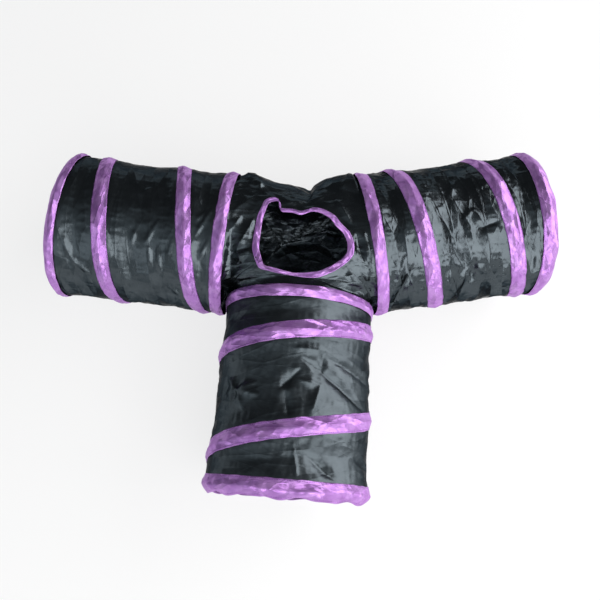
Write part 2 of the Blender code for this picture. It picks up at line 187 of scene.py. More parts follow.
# The hub's plainest folds in plan: both ends, width and height in millimetres
HUB_FOLDS = (
    (-114, -2, -118, -90, 20, -6.2), (-80, 11, -106, -38, 14, 6), (-106, -38, -97, -56, 12, 4.5),
    (-122, -16, -101, 15, 9, 3.5), (-111, 27, -79, 58, 8, 3.2), (-90, 78, -74, 73, 7, -3.4),
    (-74, 73, -72, 96, 6, 3), (50, 52, 73, 11, 8, 3), (82, -9, 92, -46, 10, -4.5),
    (94, -8, 102, -70, 11, 4.5), (32, -87, 105, -104, 6, -2.8), (4, 118, 2, 50, 26, -11),
    (8, 118, 6, 60, 7, -6), (60, 72, 80, 125, 46, 13), (-78, 82, -90, 122, 34, 7),
    (-94, 98, -99, 124, 11, 4), (-2, 62, -25, 60, 8, 3), (67, -75, 80, -70, 7, 2.8),
)

# How far a wire and a tape's edges stray by chance, over which share of a circle, and the seed for each
TAPE_WANDER, WANDER_SIZE = 0.0055, 0.55
EDGE_WANDER, EDGE_SIZE = 0.0007, 0.11
TAPE_SEEDS = {"inner": 11, "coil": 12, "mouth": 13}

# Millimetres in a metre, and degrees in a turn
MM = 1000
TURN = 360.0
UP = np.array((0.0, 0.0, 1.0))
HALF_TAPE = TAPE_WIDTH / 2
INNER_TAPE_HUBWARD = 0.0098
TURN_LENGTH = 2 * math.pi * WIRE_RADIUS
CLOTH_ROUND = 2 * math.pi * CLOTH_RADIUS
SHADER = "Principled BSDF"
FLOOR_CLEARANCE = 0.0004
SEAM_TUCK = 0.009
MIRRORED = np.array((1.0, 1.0, -1.0))

# Each hub panel laid flat: its length and width, and its area
HUB_FLAT = {"hub_top_cloth": ((0.40, 0.34), 0.074), "hub_bottom_cloth": ((0.40, 0.37), 0.088)}

# How finely the cloth, the tapes and the wires are modelled
FINEST = 1e-9
CLOTH_SPACING = 0.0042
HUB_STEP = 2.5
HUB_ROWS = 26
HUB_EASING = 160
HUB_SMOOTHING = 4
ROUNDING = 0.4
NOTCH_POINTS = 33
TAPE_STEP = 0.8
TAPE_COLUMNS = 17
WIRE_SIDES = 8

# How the cloth is simulated, and how far it may move into its back and out of its face
SIM_FRAMES = 22
SIM_MASS = 0.003
SIM_STIFFNESS = 25
SIM_BENDING = 0.05
SIM_DAMPING = 5
TUBE_MOVES = (-0.008, 0.0035)
HUB_MOVES = (-0.010, 0.010)

# How a tube's cloth sags between wires: over this distance, by this much, and by this much more on top
SAG_REACH = 0.030
SAG_POWER = 1.2
SAG = 0.0015
SAG_ON_TOP = 0.0035

# How much larger the cloth is cut for the simulation: along a tube, round it and by how much that varies,
# with a twist in degrees and a roughness, and then the hub's cut and how much it varies
CUT_LONGER = 1.05
CUT_WIDER = 0.034
CUT_VARIES = 0.026
CUT_TWIST = 16
CUT_ROUGH = 0.0022
HUB_CUT = 1.05
HUB_CUT_VARIES = 0.03

# The facets of crumpled cloth, which is louder in some patches, of its gathers beside a tape, of the tapes
# and of the peephole's puckers: spacing, height, slant in degrees and stretch
CLOTH_FACETS = (
    (0.026, 0.0030, 74, 2.8), (0.024, 0.0024, 104, 2.8),
    (0.0115, 0.0016, 84, 3.6), (0.0055, 0.0003, 45, 2.0),
)
LOUDNESS, LOUDNESS_VARIES, PATCH_SIZE = 0.72, 0.42, 0.055
GATHERS = (0.0075, 0.0011, 0, 3.5)
TAPE_FACETS = ((0.012, 0.0008, 55, 2.0), (0.0055, 0.0004, 125, 2.0))
PUCKERS = (0.007, 0.0011)

# How far in from a tape's edge the cloth is sewn, and how far beside it creases and gathers rise and fade
SEWN_IN = 0.0015
CREASE_RISE = 0.010
HUB_CREASE_RISE = 0.006
GATHER_RISE = 0.003
GATHER_FADE = 0.012

# The creases of each material: long and short size, turn in degrees, lean, and height
CLOTH_CREASES = (
    (0.085, 0.0165, 9, 0.30, 0.00022),
    (0.050, 0.0110, -13, 0.15, 0.00010),
    (0.014, 0.0045, 35, 0.05, 0.00002),
)
TAPE_CREASES = ((0.0075, 0.034, 12, 0.30, 0.00016), (0.0060, 0.018, -32, 0.10, 0.00006))
STITCH_ROW = 0.0118
STITCH_WIDTH = 0.0006
STITCH_LENGTH = 0.0034
STITCH_SHARE = 0.7

# Linear colours, each from one place of a mottling noise to another
BLACK_CLOTH = ((0.3, (0.061, 0.073, 0.082)), (0.7, (0.079, 0.094, 0.105)))
VIOLET_SATIN = ((0.30, (0.36, 0.165, 0.48)), (0.50, (0.42, 0.205, 0.55)), (0.72, (0.50, 0.27, 0.63)))
VIOLET_THREAD = (0.22, 0.06, 0.36, 1.0)
STEEL_GREY = ((0.3, (0.33, 0.33, 0.34)), (0.7, (0.50, 0.50, 0.51)))
ZINC_GREY = ((0.3, (0.48, 0.47, 0.44)), (0.7, (0.66, 0.65, 0.62)))
FLOOR_GREY = ((0.0, (0.885, 0.885, 0.885)), (1.0, (0.905, 0.905, 0.905)))
FLOOR_WHITE = 0.75
FLOOR_HALF = 6.0

# The studio's walls, dim behind and bright towards the front, and its soft lights: azimuth, elevation,
# distance, size, radiance and colour
WALLS = ((0.0, (0.050, 0.050, 0.053)), (1.0, (0.36, 0.40, 0.42)))
WALLS_FRONT = (-0.10, -0.99, 0.0)
WALLS_FROM, WALLS_TO = -0.40, 0.45
LIGHTS = {
    "key": (-68, 38, 2.4, 2.2, 3.1, (1.0, 0.98, 0.96)),
    "side": (13, 23, 2.4, 2.8, 3.5, (1.0, 0.98, 0.97)),
    "fill": (-135, 34, 2.4, 1.2, 0.8, (0.93, 0.97, 1.0)),
}

# The photo's camera: focal length and picture in pixels, place in metres, and turn in degrees
FOCAL_PIXELS = 669.2
PHOTO_PIXELS = 600
SENSOR_WIDTH = 36.0
CAMERA_PLACE = Vector((-0.0042, -0.4092, 1.2133))
CAMERA_PITCH = math.radians(73.393)
CAMERA_ROLL = math.radians(-1.489)


def circle(turned, height=0.0):
    """Points of a circle of radius 1 at angles in radians."""
    return np.stack((np.cos(turned), np.sin(turned), np.full_like(turned, height)), axis=-1)


class Noise:
    """Smooth random values from -1 to 1 in space, from a seeded lattice."""

    CELLS = 32

    def __init__(self, seed):
        self.lattice = np.random.default_rng(seed).uniform(-1, 1, (self.CELLS,) * 3)

    def at(self, points, size):
        place = np.asarray(points) / size
        cell = np.floor(place).astype(int)
        share = place - cell
        share = share * share * (3 - 2 * share)
        total = np.zeros(place.shape[:-1])
        for corner in np.ndindex(2, 2, 2):
            weight = np.prod(np.where(np.array(corner) == 1, share, 1 - share), axis=-1)
            index = (cell + corner) % self.CELLS
            total += weight * self.lattice[index[..., 0], index[..., 1], index[..., 2]]
        return total


class Arm:
    """One tube's own frame, read from its hoops and its joint."""

    def __init__(self, name):
        joint = next(j for j in frame["joints"] if j["name"] == f"{name}_collapse")
        low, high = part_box(f"{name}_inner_hoop")
        mouth_low, mouth_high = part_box(f"{name}_mouth_hoop")
        self.name = name
        self.joint = joint["name"]
        self.axis = -np.array(joint["axis"], float)
        self.side = np.cross(self.axis, -UP)
        self.middle = (np.array(low) + np.array(high)) / 2
        self.mouth = (np.array(mouth_low) + np.array(mouth_high)) / 2
        self.length = float((self.mouth - self.middle) @ self.axis)
        self.keep = 1 - joint["range_m"][1] / self.length
        self.lean = LEAN[name]
        self.tilt = TILT[name]
        self.flare = FLARE[name]
        self.curl = math.radians(HEM_CURL[name])
        self.wave = HEM_WAVE[name]
        self.inner_drawn, self.coil_drawn, self.mouth_drawn = TAPE_DRAWN[name]
        self.seed = 100 * sorted(LEAN).index(name)

    def tilted(self, along, angle):
        """How far the tube's slack hoops lean outward at distances and angles in radians."""
        share = np.clip(along / self.length, 0.0, 1.0)
        leans = [sideways * np.sin(angle) + top * (1 - np.cos(angle)) / 2 for sideways, top in self.tilt]
        return leans[0] * (1 - share) + leans[1] * share

    def hem(self, along, radius, angle):
        """Distances and radii with what lies past the mouth hoop curled in and waved."""
        past = np.maximum(along - self.length, 0.0)
        share = past / MOUTH_HEM
        waves = np.sin(10 * angle + 0.6) + 0.6 * np.sin(17 * angle + 1.0) * np.cos(angle)
        onward = MOUTH_HEM / self.curl * np.sin(self.curl * share) + self.wave * waves * share**2
        drop = MOUTH_HEM / self.curl * (1 - np.cos(self.curl * share))
        return along - past + onward, radius - drop

    def at(self, along, radius, angle):
        """Points at distances outward, radii and angles from the underside."""
        along, radius, angle = np.broadcast_arrays(along, radius, np.radians(angle))
        along, radius = self.hem(along, radius, angle)
        widened = radius * (1 + self.flare * np.clip(along / self.length, 0.0, 1.0))
        along = along + self.tilted(along, angle)
        spoke = (widened * np.sin(angle))[..., None] * self.side - (radius * np.cos(angle))[..., None] * UP
        return self.middle + along[..., None] * self.axis + spoke

    def read(self, points):
        """(along, radius, angle in degrees) of points short of the mouth: the reverse of at."""
        offset = points - self.middle
        along = offset @ self.axis
        across = offset @ self.side / (1 + self.flare * np.clip(along / self.length, 0.0, 1.0))
        angle = np.arctan2(across, -offset @ UP)
        return along - self.tilted(along, angle), np.hypot(across, offset @ UP), np.degrees(angle) % TURN

    def coil_along(self, angle):
        """How far out the coil is after turning by an angle. At either end it lies beside the hoop."""
        share = (np.asarray(angle, float) - COIL_LEAD_IN) / (COIL_TURNS * TURN - 2 * COIL_LEAD_IN)
        share = np.clip(share, 0.0, 1.0)
        turned = share * COIL_TURNS * 2 * math.pi
        sideways, endways, hubward = self.lean
        slack = sideways * np.sin(turned) - endways * (1 - np.cos(turned))
        slack = slack - hubward * (1 - np.cos(turned / COIL_TURNS))
        return WIRE_SPACING + (self.length - 2 * WIRE_SPACING) * share + slack

    def from_wire(self, along, angle):
        """The distance along the tube from each point to the nearest wire."""
        around = np.asarray(angle) % TURN
        nearest = np.minimum(np.abs(along), np.abs(along - self.length))
        for turn in range(COIL_TURNS):
            nearest = np.minimum(nearest, np.abs(along - self.coil_along(around + TURN * turn)))
        return nearest


def refined(grid, rows=True):
    """A grid with a point added between each two, on smooth curves. Columns close round."""
    before, after = np.roll(grid, 1, axis=1), np.roll(grid, -1, axis=1)
    further = np.roll(grid, -2, axis=1)
    between = (9 * (grid + after) - before - further) / 16
    wide = np.stack((grid, between), axis=2).reshape(grid.shape[0], -1, grid.shape[2])
    if not rows:
        return wide
    padded = np.concatenate((2 * wide[:1] - wide[1:2], wide, 2 * wide[-1:] - wide[-2:-1]))
    between = (9 * (padded[1:-2] + padded[2:-1]) - padded[:-3] - padded[3:]) / 16
    tall = np.empty((2 * wide.shape[0] - 1, *wide.shape[1:]))
    tall[0::2] = wide
    tall[1::2] = between
    return tall


def grid_normals(grid):
    """Unit normals of a grid whose columns close round, out of the side where rows cross columns."""
    around = np.roll(grid, -1, axis=1) - np.roll(grid, 1, axis=1)
    onward = np.gradient(grid, axis=0)
    normals = np.cross(around, onward)
    return normals / np.maximum(np.linalg.norm(normals, axis=-1, keepdims=True), 1e-12)


def placed(name, data):
    """A new object in the scene."""
    made = bpy.data.objects.new(name, data)
    bpy.context.scene.collection.objects.link(made)
    return made


def grid_mesh(name, grid, flat, closed_rows=False, closed_columns=True, cap=False, slack=None):
    """A mesh through a grid of points, with its UV map in metres of flat cloth, and how slack it is."""
    rows, columns = grid.shape[:2]
    index = np.arange(rows * columns).reshape(rows, columns)
    upper = index if closed_rows else index[:-1]
    lower = np.roll(index, -1, axis=0) if closed_rows else index[1:]
    if not closed_columns:
        upper, lower = upper[:, :-1], lower[:, :-1]
    beside_upper = np.roll(index, -1, axis=1) if closed_columns else index[:, 1:]
    beside = beside_upper if closed_rows else beside_upper[:-1]
    beside_lower = np.roll(beside_upper, -1, axis=0) if closed_rows else beside_upper[1:]
    faces = np.stack((upper, beside, beside_lower, lower), axis=-1).reshape(-1, 4).tolist()
    if cap:
        faces.append(index[-1].tolist())
    data = bpy.data.meshes.new(name)
    data.from_pydata(grid.reshape(-1, 3).tolist(), [], faces)
    uv = data.uv_layers.new(name="flat")
    corners = np.empty(len(data.loops), np.int32)
    data.loops.foreach_get("vertex_index", corners)
    uv.data.foreach_set("uv", flat.reshape(-1, 2)[corners].astype(np.float32).ravel())
    if slack is not None:
        values = data.attributes.new("slack", "FLOAT", "POINT")
        values.data.foreach_set("value", slack.astype(np.float32).ravel())
    data.shade_smooth()
    return placed(name, data)


def thicken(piece, thickness, offset):
    solid = piece.modifiers.new("thickness", "SOLIDIFY")
    solid.thickness = thickness
    solid.offset = offset


def facets(flat, seed, spacing, height, slant=0.0, stretch=1.0, wrap=None):
    """A crumpled height over flat cloth: flat triangles with sharp edges between seeded random heights.

    The triangles are longer along the slant, in degrees from the second flat axis, and wrap is the
    distance after which the first axis closes round.
    """
    random = np.random.default_rng(seed)
    low, high = flat.reshape(-1, 2).min(axis=0), flat.reshape(-1, 2).max(axis=0)
    margin = 3 * spacing * stretch
    if wrap:
        first = low[0] + np.arange(round(wrap / spacing)) * wrap / round(wrap / spacing)
    else:
        first = np.arange(low[0] - margin, high[0] + margin, spacing)
    second = np.arange(low[1] - margin, high[1] + margin, spacing)
    points = np.stack(np.meshgrid(first, second, indexing="ij"), axis=-1).reshape(-1, 2)
    points = points + random.uniform(-0.45, 0.45, points.shape) * spacing
    tall = random.uniform(-height, height, len(points))
    if wrap:
        points = np.concatenate([points + (turn * wrap, 0.0) for turn in (-1, 0, 1)])
        tall = np.tile(tall, 3)
        near = (points[:, 0] > low[0] - margin) & (points[:, 0] < low[0] + wrap + margin)
        points, tall = points[near], tall[near]
    lean = math.radians(slant)

    def turned(places):
        across = places[..., 0] * math.cos(lean) - places[..., 1] * math.sin(lean)
        onward = places[..., 0] * math.sin(lean) + places[..., 1] * math.cos(lean)
        return np.stack((across, onward / stretch), axis=-1)

    found = delaunay_2d_cdt([Vector(p) for p in turned(points).tolist()], [], [], 0, FINEST)
    corners = [(*place, tall[source[0]]) for place, source in zip(found[0], found[3])]
    tree = BVHTree.FromPolygons(corners, found[2])
    down = Vector((0.0, 0.0, -1.0))
    hits = (tree.ray_cast((x, y, 1.0), down)[0] for x, y in turned(flat).reshape(-1, 2).tolist())
    return np.array([hit.z if hit else 0.0 for hit in hits]).reshape(flat.shape[:-1])


def layered(layers, flat, seed, wrap):
    """The sum of several layers of facets, each with the next seed."""
    return sum(facets(flat, seed + place, *layer, wrap) for place, layer in enumerate(layers, 1))


def folds(flat, lines, wrap=None):
    """The height of sharp folds along straight lines over flat cloth: (x, y, x, y, width, height) each."""
    total = np.zeros(flat.shape[:-1])
    for *ends, width, height in lines:
        start, end = np.array(ends[:2]), np.array(ends[2:])
        way = end - start
        offset = flat - start
        if wrap:
            offset[..., 0] = (offset[..., 0] + wrap / 2) % wrap - wrap / 2
        share = np.clip(offset @ way / (way @ way), 0.0, 1.0)
        distance = np.linalg.norm(offset - share[..., None] * way, axis=-1)
        swell = FOLD_ENDS + (1 - FOLD_ENDS) * (1 - (2 * share - 1) ** 2)
        slope = np.clip(1 - distance / (FOLD_FADE * width * swell), 0.0, 1.0)
        total += height * swell * slope**FOLD_SHARPNESS
    return total


def settle(name, grid, held, cut, moves):
    """The grid after its cloth has settled under gravity.

    held is 1 where the cloth is sewn down, cut is the grid at the size that the cloth was cut to, and
    moves is how far a point may move (into the cloth's back, out of its face).
    """
    piece = grid_mesh(name, grid, grid[..., :2])
    piece.shape_key_add(name="sewn")
    key = piece.shape_key_add(name="cut")
    key.data.foreach_set("co", cut.astype(np.float32).ravel())
    group = piece.vertex_groups.new(name="held")
    group.add(np.flatnonzero(held.ravel() > 0.5).tolist(), 1.0, "REPLACE")
    cloth = piece.modifiers.new("cloth", "CLOTH")
    settings = cloth.settings
    settings.rest_shape_key = key
    settings.vertex_group_mass = "held"
    settings.quality = 5
    settings.mass = SIM_MASS
    for kind, share in (("tension", 1), ("compression", 1), ("shear", 1 / 3)):
        setattr(settings, f"{kind}_stiffness", SIM_STIFFNESS * share)
        setattr(settings, f"{kind}_damping", SIM_DAMPING)
    settings.bending_stiffness = SIM_BENDING
    settings.bending_damping = 0.5
    settings.air_damping = 1.0
    cloth.collision_settings.use_collision = False
    cloth.point_cache.frame_start = 1
    cloth.point_cache.frame_end = SIM_FRAMES
    scene = bpy.context.scene
    for number in range(1, SIM_FRAMES + 1):
        scene.frame_set(number)
    moved = piece.evaluated_get(bpy.context.evaluated_depsgraph_get()).to_mesh()
    points = np.empty(len(moved.vertices) * 3)
    moved.vertices.foreach_get("co", points)
    settled = points.reshape(grid.shape)
    scene.frame_set(1)
    bpy.data.objects.remove(piece)
    shift = settled - grid
    outward = grid_normals(grid)
    depth = np.einsum("ijk,ijk->ij", shift, outward)
    capped = np.clip(depth, *moves)
    return settled + (capped - depth)[..., None] * outward


# The pieces' materials

def add(tree, kind, inputs=None, **settings):
    """A new node, with its settings, and each input given as a value or as another node's output."""
    made = tree.nodes.new(kind)
    for name, value in settings.items():
        setattr(made, name, value)
    for socket, value in (inputs or {}).items():
        if isinstance(value, bpy.types.NodeSocket):
            tree.links.new(value, made.inputs[socket])
        else:
            made.inputs[socket].default_value = value
    return made


def math_node(tree, operation, *values):
    return add(tree, "ShaderNodeMath", dict(enumerate(values)), operation=operation).outputs[0]


def vector_node(tree, operation, *values, output=0, **sockets):
    inputs = {**dict(enumerate(values)), **sockets}
    return add(tree, "ShaderNodeVectorMath", inputs, operation=operation).outputs[output]


def ramp(tree, factor, *stops):
    """A colour from a factor, through stops of (place, linear colour)."""
    made = add(tree, "ShaderNodeValToRGB", {"Fac": factor})
    elements = made.color_ramp.elements
    while len(elements) < len(stops):
        elements.new(0.5)
    for element, (place, colour) in zip(elements, stops):
        element.position = place
        element.color = (*colour, 1.0)
    return made.outputs["Color"]


def grey(tree, factor, low, high, start=0.0, end=1.0, **settings):
    """A number from low to high as a factor goes from start to end."""
    inputs = {"Value": factor, "From Min": start, "From Max": end, "To Min": low, "To Max": high}
    return add(tree, "ShaderNodeMapRange", inputs, **settings).outputs["Result"]


def noise_node(tree, vector, scale, detail=2.0, distortion=0.0):
    inputs = {"Vector": vector, "Scale": scale, "Detail": detail, "Distortion": distortion}
    return add(tree, "ShaderNodeTexNoise", inputs).outputs[0]


def stretched(tree, vector, x, y):
    return add(tree, "ShaderNodeMapping", {"Vector": vector, "Scale": (x, y, 1.0)}).outputs[0]


def facet_cells(tree, vector, long, short, turn, kind):
    """Long irregular cells in flat cloth, of a size along each turned axis: a number or colour of each."""
    inputs = {"Vector": vector, "Scale": (long, short, 1.0), "Rotation": (0.0, 0.0, math.radians(turn))}
    place = add(tree, "ShaderNodeMapping", inputs, vector_type="TEXTURE").outputs[0]
    cells = add(tree, "ShaderNodeTexVoronoi", {"Vector": place, "Scale": 1.0}, feature=kind)
    return cells.outputs["Distance" if kind == "DISTANCE_TO_EDGE" else "Color"]


def crumpled_normal(tree, flat, layers, slack=None):
    """A normal for crumpled cloth: facets that each lean by chance, with a sharp crease round each.

    Each layer is (long, short, turn, lean, crease height). Where the cloth isn't slack, it is smoother.
    """
    total = (0.0, 0.0, 0.0)
    for long, short, turn, lean, _ in layers:
        chance = facet_cells(tree, flat, long, short, turn, "F1")
        centred = vector_node(tree, "SUBTRACT", chance, (0.5, 0.5, 0.5))
        total = vector_node(tree, "MULTIPLY_ADD", centred, (lean, lean, 0.0), total)
    if slack:
        total = vector_node(tree, "SCALE", total, Scale=slack)
    facing = vector_node(tree, "ADD", total, (0.5, 0.5, 1.0))
    normal = add(tree, "ShaderNodeNormalMap", {"Color": facing}, uv_map="flat").outputs[0]
    for long, short, turn, _, height in layers:
        border = facet_cells(tree, flat, long, short, turn, "DISTANCE_TO_EDGE")
        normal = bump(tree, grey(tree, border, 1.0, 0.0, end=0.10), height, normal)
    return normal


def bump(tree, height, distance, normal=None):
    """A bumped normal, where a height of 1 stands a distance proud, in metres."""
    inputs = {"Height": height, "Distance": distance, "Strength": 1.0}
    if normal:
        inputs["Normal"] = normal
    return add(tree, "ShaderNodeBump", inputs).outputs[0]


def started(name, **sockets):
    """A new material and its node tree, with constant sockets set on the shader itself."""
    made = bpy.data.materials.new(name)
    made.use_nodes = True
    for socket, value in sockets.items():
        made.node_tree.nodes[SHADER].inputs[socket.replace("_", " ")].default_value = value
    return made, made.node_tree


def finished(made, colour, rough, normal=None):
    """The material, with its colour, roughness and normal linked to its shader."""
    tree = made.node_tree
    for socket, output in (("Base Color", colour), ("Roughness", rough), ("Normal", normal)):
        if output:
            tree.links.new(output, tree.nodes[SHADER].inputs[socket])
    return made


def taffeta(name, creased, glossiest, dullest):
    """Thin black taffeta: a fine weave, small crisp facets, and a shine that varies with wear."""
    shine = {"Metallic": 0.95, "Specular_Tint": (0.25, 0.25, 0.25, 1.0)}
    made, tree = started(f"black_taffeta_{name}", **shine)
    cloth = add(tree, "ShaderNodeUVMap", uv_map="flat").outputs[0]
    colour = ramp(tree, noise_node(tree, cloth, scale=32.0, detail=3.0), *BLACK_CLOTH)
    rough = grey(tree, noise_node(tree, cloth, scale=45.0), glossiest, dullest)
    inputs = {"Vector": cloth, "Scale": 30.0, "Detail": 1.0}
    wander = add(tree, "ShaderNodeTexNoise", inputs).outputs["Color"]
    bent = vector_node(tree, "MULTIPLY_ADD", wander, (0.004, 0.004, 0.0), cloth)
    layers = [(*place, lean * creased, height * creased) for *place, lean, height in CLOTH_CREASES]
    slack = add(tree, "ShaderNodeAttribute", attribute_name="slack").outputs["Fac"]
    normal = crumpled_normal(tree, bent, layers, slack)
    inputs = {"Vector": cloth, "Scale": 700.0}
    threads = [add(tree, "ShaderNodeTexWave", inputs, bands_direction=way).outputs[1] for way in "XY"]
    weave = math_node(tree, "MAXIMUM", *threads)
    return finished(made, colour, rough, bump(tree, weave, 0.00001, normal))


def satin():
    """Violet satin tape: fine threads along it, mottled light, small puckers and two rows of stitches."""
    sheen = {"Specular_Tint": (0.75, 0.45, 0.85, 1.0)}
    made, tree = started("violet_satin", Metallic=0.50, IOR=1.6, **sheen)
    tape = add(tree, "ShaderNodeUVMap", uv_map="flat").outputs[0]
    places = add(tree, "ShaderNodeSeparateXYZ", {0: tape}).outputs
    colour = ramp(tree, noise_node(tree, tape, scale=60.0, distortion=0.5), *VIOLET_SATIN)
    from_row = math_node(tree, "SUBTRACT", math_node(tree, "ABSOLUTE", places[0]), STITCH_ROW)
    thin = math_node(tree, "LESS_THAN", math_node(tree, "ABSOLUTE", from_row), STITCH_WIDTH / 2)
    beat = math_node(tree, "FRACT", math_node(tree, "DIVIDE", places[1], STITCH_LENGTH))
    stitch = math_node(tree, "MULTIPLY", thin, math_node(tree, "LESS_THAN", beat, STITCH_SHARE))
    inputs = {0: stitch, 6: colour, 7: VIOLET_THREAD}
    sewn = add(tree, "ShaderNodeMix", inputs, data_type="RGBA").outputs[2]
    rough = grey(tree, noise_node(tree, tape, scale=70.0), *DULLNESS["satin"])
    normal = crumpled_normal(tree, tape, TAPE_CREASES)
    threads = noise_node(tree, stretched(tree, tape, 3200.0, 160.0), scale=1.0, detail=1.0)
    normal = bump(tree, threads, 0.00002, normal)
    return finished(made, sewn, rough, bump(tree, stitch, -0.0003, normal))


def drawn_steel():
    """Spring wire, faintly scored along its length by the drawing die."""
    made, tree = started("spring_steel", Metallic=1.0)
    wire = add(tree, "ShaderNodeUVMap", uv_map="flat").outputs[0]
    scores = noise_node(tree, stretched(tree, wire, 4000.0, 40.0), scale=1.0)
    stain = ramp(tree, noise_node(tree, wire, scale=30.0, detail=3.0), *STEEL_GREY)
    return finished(made, stain, grey(tree, scores, *DULLNESS["steel"]), bump(tree, scores, 0.00003))


def plated():
    """A crimped sleeve's dull zinc plating."""
    made, tree = started("plated_sleeve", Metallic=1.0)
    place = add(tree, "ShaderNodeTexCoord").outputs["Object"]
    spangle = noise_node(tree, place, scale=900.0)
    rough = grey(tree, noise_node(tree, place, scale=1500.0), *DULLNESS["zinc"])
    return finished(made, ramp(tree, spangle, *ZINC_GREY), rough, bump(tree, spangle, 0.00005))


def pale_floor():
    """A pale floor that keeps a soft shadow, and shows nearly white to the eye and in what shines."""
    made, tree = started("pale_floor")
    place = add(tree, "ShaderNodeTexCoord").outputs["Object"]
    tint = ramp(tree, noise_node(tree, place, scale=1.2), *FLOOR_GREY)
    rough = grey(tree, noise_node(tree, place, scale=40.0), *DULLNESS["floor"])
    path = add(tree, "ShaderNodeLightPath").outputs
    seen = math_node(tree, "MAXIMUM", path["Is Camera Ray"], path["Is Glossy Ray"])
    seen = math_node(tree, "MAXIMUM", seen, path["Is Transmission Ray"])
    white = add(tree, "ShaderNodeEmission", {"Color": (1.0, 1.0, 1.0, 1.0), "Strength": 1.0}).outputs[0]
    share = math_node(tree, "MULTIPLY", seen, FLOOR_WHITE)
    inputs = {0: share, 1: tree.nodes[SHADER].outputs[0], 2: white}
    mixed = add(tree, "ShaderNodeMixShader", inputs).outputs[0]
    tree.links.new(mixed, tree.nodes["Material Output"].inputs["Surface"])
    return finished(made, tint, rough)


TAFFETA = {name: taffeta(name, CREASED[name], *DULLNESS[name]) for name in CREASED}
SATIN = satin()
STEEL = drawn_steel()
PLATED = plated()
FLOOR = pale_floor()


# Tube cloth

def crumple(flat, seed, wrap=None):
    """The crumpled height of slack cloth: facets that lie mostly round the tube, calmer in patches."""
    level = np.concatenate((flat, np.zeros((*flat.shape[:-1], 1))), axis=-1)
    loud = LOUDNESS + LOUDNESS_VARIES * Noise(seed).at(level, PATCH_SIZE)
    return loud * layered(CLOTH_FACETS, flat, seed, wrap)


def tube_cloth(arm):
    """A tube's cloth: sewn under its tapes, sagged and settled between them, then crumpled and folded."""
    last = arm.length + MOUTH_HEM - GAP
    rows = round(last / CLOTH_SPACING)
    columns = round(CLOTH_ROUND / CLOTH_SPACING)
    allowance = INNER_TAPE_HUBWARD * arm.inner_drawn - TAPE_THICKNESS
    outward = np.linspace(-allowance, last, rows)
    along, angle = np.meshgrid(outward, np.arange(columns) * TURN / columns, indexing="ij")
    distance = arm.from_wire(along, angle) - HALF_TAPE
    under = np.clip(1 - (distance + SEWN_IN) / SEWN_IN, 0.0, 1.0)
    upward = np.clip(-np.cos(np.radians(angle)), 0.0, 1.0)
    sag = np.clip(distance / SAG_REACH, 0.0, 1.0) ** SAG_POWER * (SAG + SAG_ON_TOP * upward)
    sag = sag + np.where(along < GAP, 2 * CLOTH_THICKNESS, 0.0)
    grid = arm.at(along, CLOTH_RADIUS - sag, angle)
    around = np.radians(angle) * CLOTH_RADIUS
    noise = Noise(arm.seed + 1)
    free = np.clip(distance / SAG_REACH, 0.0, 1.0)
    spare = CUT_WIDER + CUT_VARIES * noise.at(grid, 0.06)
    twist = CUT_TWIST * free * noise.at(grid, 0.08)
    rough = CUT_ROUGH * noise.at(grid, 0.018)
    cut = arm.at(along * CUT_LONGER, CLOTH_RADIUS * (1 + spare) + rough, angle + twist)
    settled = settle(f"{arm.name}_cut", grid, under, cut, TUBE_MOVES)
    grid = grid + (settled - grid) * np.clip(distance / CREASE_RISE, 0.0, 1.0)[..., None]
    grid = refined(grid)
    flat = refined(np.stack((around, along), axis=-1))
    flat[:, -1, 0] = flat[:, -2, 0] + (flat[:, 2, 0] - flat[:, 1, 0])
    distance = arm.from_wire(flat[..., 1], np.degrees(flat[..., 0] / CLOTH_RADIUS)) - HALF_TAPE
    lines = np.array(TUBE_FOLDS[arm.name]) / (1, MM, 1, MM, MM, MM)
    lines[:, (0, 2)] = np.radians(lines[:, (0, 2)]) * CLOTH_RADIUS
    slack = 1 + SLACK_TOP * np.cos(flat[..., 0] / CLOTH_RADIUS).clip(-1, 0)
    height = crumple(flat, arm.seed + 10, CLOTH_ROUND) * CRUMPLED[arm.name] * slack
    height = height + folds(flat, lines, CLOTH_ROUND)
    height = height * np.clip(distance / CREASE_RISE, 0.0, 1.0)
    gathers = facets(flat, arm.seed + 20, *GATHERS, CLOTH_ROUND) * CRUMPLED[arm.name]
    fade = np.exp(-np.maximum(distance, 0.0) / GATHER_FADE)
    height += gathers * np.clip(distance / GATHER_RISE, 0.0, 1.0) * fade
    grid = grid + height[..., None] * grid_normals(grid)
    grid[..., 2] = np.maximum(grid[..., 2], FLOOR_CLEARANCE)
    piece = grid_mesh(f"{arm.name}_cloth", grid, flat, slack=slack)
    finish_arm_piece(piece, TAFFETA[arm.name], "hub", f"{arm.name}_tube_cloth")


def finish_piece(piece, material, body, node):
    """Gives a piece its material, puts it on its body and hides the node that it stands for."""
    piece.data.materials.append(material)
    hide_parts(node)
    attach(piece, body)


def finish_arm_piece(piece, material, body, node):
    """Finishes an arm's piece, and gives it a mesh of its own."""
    finish_piece(piece, material, body, node)
    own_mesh(piece)


# Tapes

def tent(distance):
    """The height of the tape over the cloth at a distance from the wire that lifts it: a drawn-in ridge."""
    rounded = np.sqrt(np.asarray(distance) ** 2 + TENT_RIDGE**2)
    slope = np.clip((HALF_TAPE - rounded) / (HALF_TAPE - TENT_RIDGE), 0.0, 1.0)
    return GAP + (TENT_HEIGHT - GAP) * slope**TENT_CURVE


def tape_crumple(across, angle, seed, wrap=None):
    """The small facets and puckers of a tape, as heights at places across it and angles along it."""
    along = np.radians(angle) * WIRE_RADIUS
    flat = np.stack(np.broadcast_arrays(along, across), axis=-1)
    return layered(TAPE_FACETS, flat, seed, wrap)


def noise_round(angle, seed, place, size):
    """Smooth random values round a circle."""
    return Noise(seed).at(circle(np.radians(angle), place), size)


